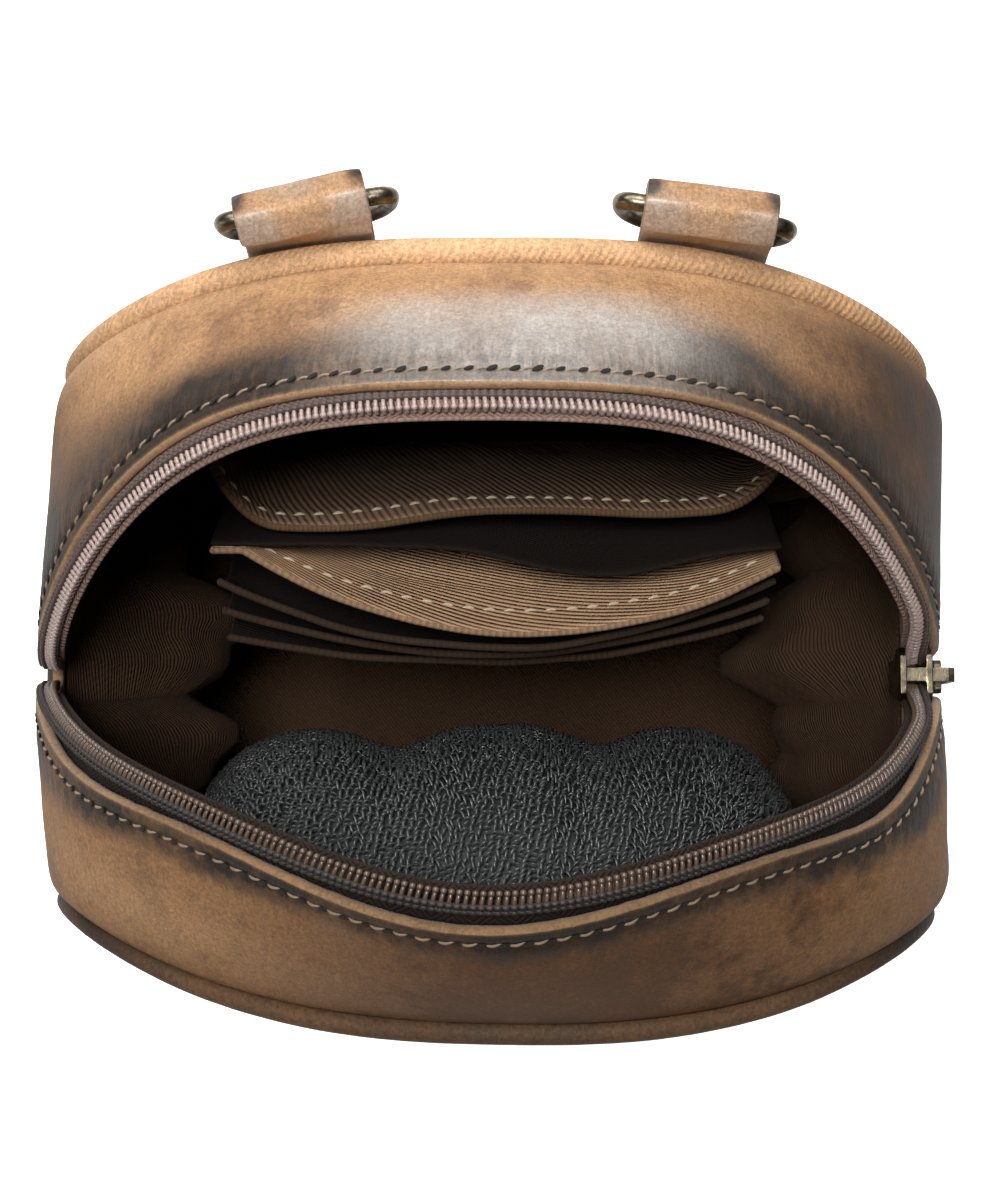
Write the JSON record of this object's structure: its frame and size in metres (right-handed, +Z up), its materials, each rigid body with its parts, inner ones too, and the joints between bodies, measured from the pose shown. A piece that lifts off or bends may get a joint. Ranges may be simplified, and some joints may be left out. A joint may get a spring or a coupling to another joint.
{
  "type": "crossbody bag",
  "caption": "Small upright leather crossbody bag with an arched zip top standing open, strap rings behind, a cloth organiser and a knitted pocket inside.",
  "frame": {"origin": "middle of the flat base, on the surface the bag stands on", "axes": "+Z up, +X to the end where the open zip's slider rests, +Y to the back face with the strap rings"},
  "size_m": [0.1817, 0.1602, 0.2365],
  "materials": {
    "leather": "worn tan-brown leather, waxed dark towards the zip edge and side corners",
    "tab_leather": "worn tan fold over a glossy dark blue-grey face",
    "twill": "brown cotton twill with light stitching at the hems",
    "zip_tape": "brown herringbone zip tape",
    "zip_coil": "shiny brown nylon coil",
    "brass": "antique brass, darkened",
    "knit": "charcoal open-knit mesh"
  },
  "bodies": {
    "bag": {"back_panel": "leather", "front_panel": "leather", "gusset_back": "leather", "gusset_front": "leather", "gusset_base": "leather", "zip_tape_back": "zip_tape", "zip_tape_front": "zip_tape", "zip_coil_back": "zip_coil", "zip_coil_front": "zip_coil", "zip_slider": "brass", "strap_tab_left": "tab_leather", "strap_tab_right": "tab_leather", "lining_back": "twill", "lining_front": "twill", "lining_top_back": "twill", "lining_top_front": "twill", "lining_gusset": "twill", "slip_pocket": "twill", "card_back": "twill", "card_front": "twill", "card_slot_1": "twill", "card_slot_2": "twill", "card_slot_3": "twill", "mesh_pocket": "knit"},
    "ring_left": {"d_ring_left": "brass"},
    "ring_right": {"d_ring_right": "brass"},
    "pull": {"zip_pull": "brass"}
  },
  "joints": [
    {"name": "ring_left_hinge", "type": "hinge", "parent": "bag", "child": "ring_left", "pos_m": [-0.03501, 0.07953, 0.193], "axis": [0.9863, 0.165, 0], "range_deg": [0, 110]},
    {"name": "ring_right_hinge", "type": "hinge", "parent": "bag", "child": "ring_right", "pos_m": [0.03874, 0.07835, 0.193], "axis": [0.9848, -0.1736, 0], "range_deg": [0, 110]},
    {"name": "pull_hinge", "type": "hinge", "parent": "bag", "child": "pull", "pos_m": [0.0866, -0.005, 0.1573], "axis": [0, -1, 0], "range_deg": [0, 80]}
  ]
}
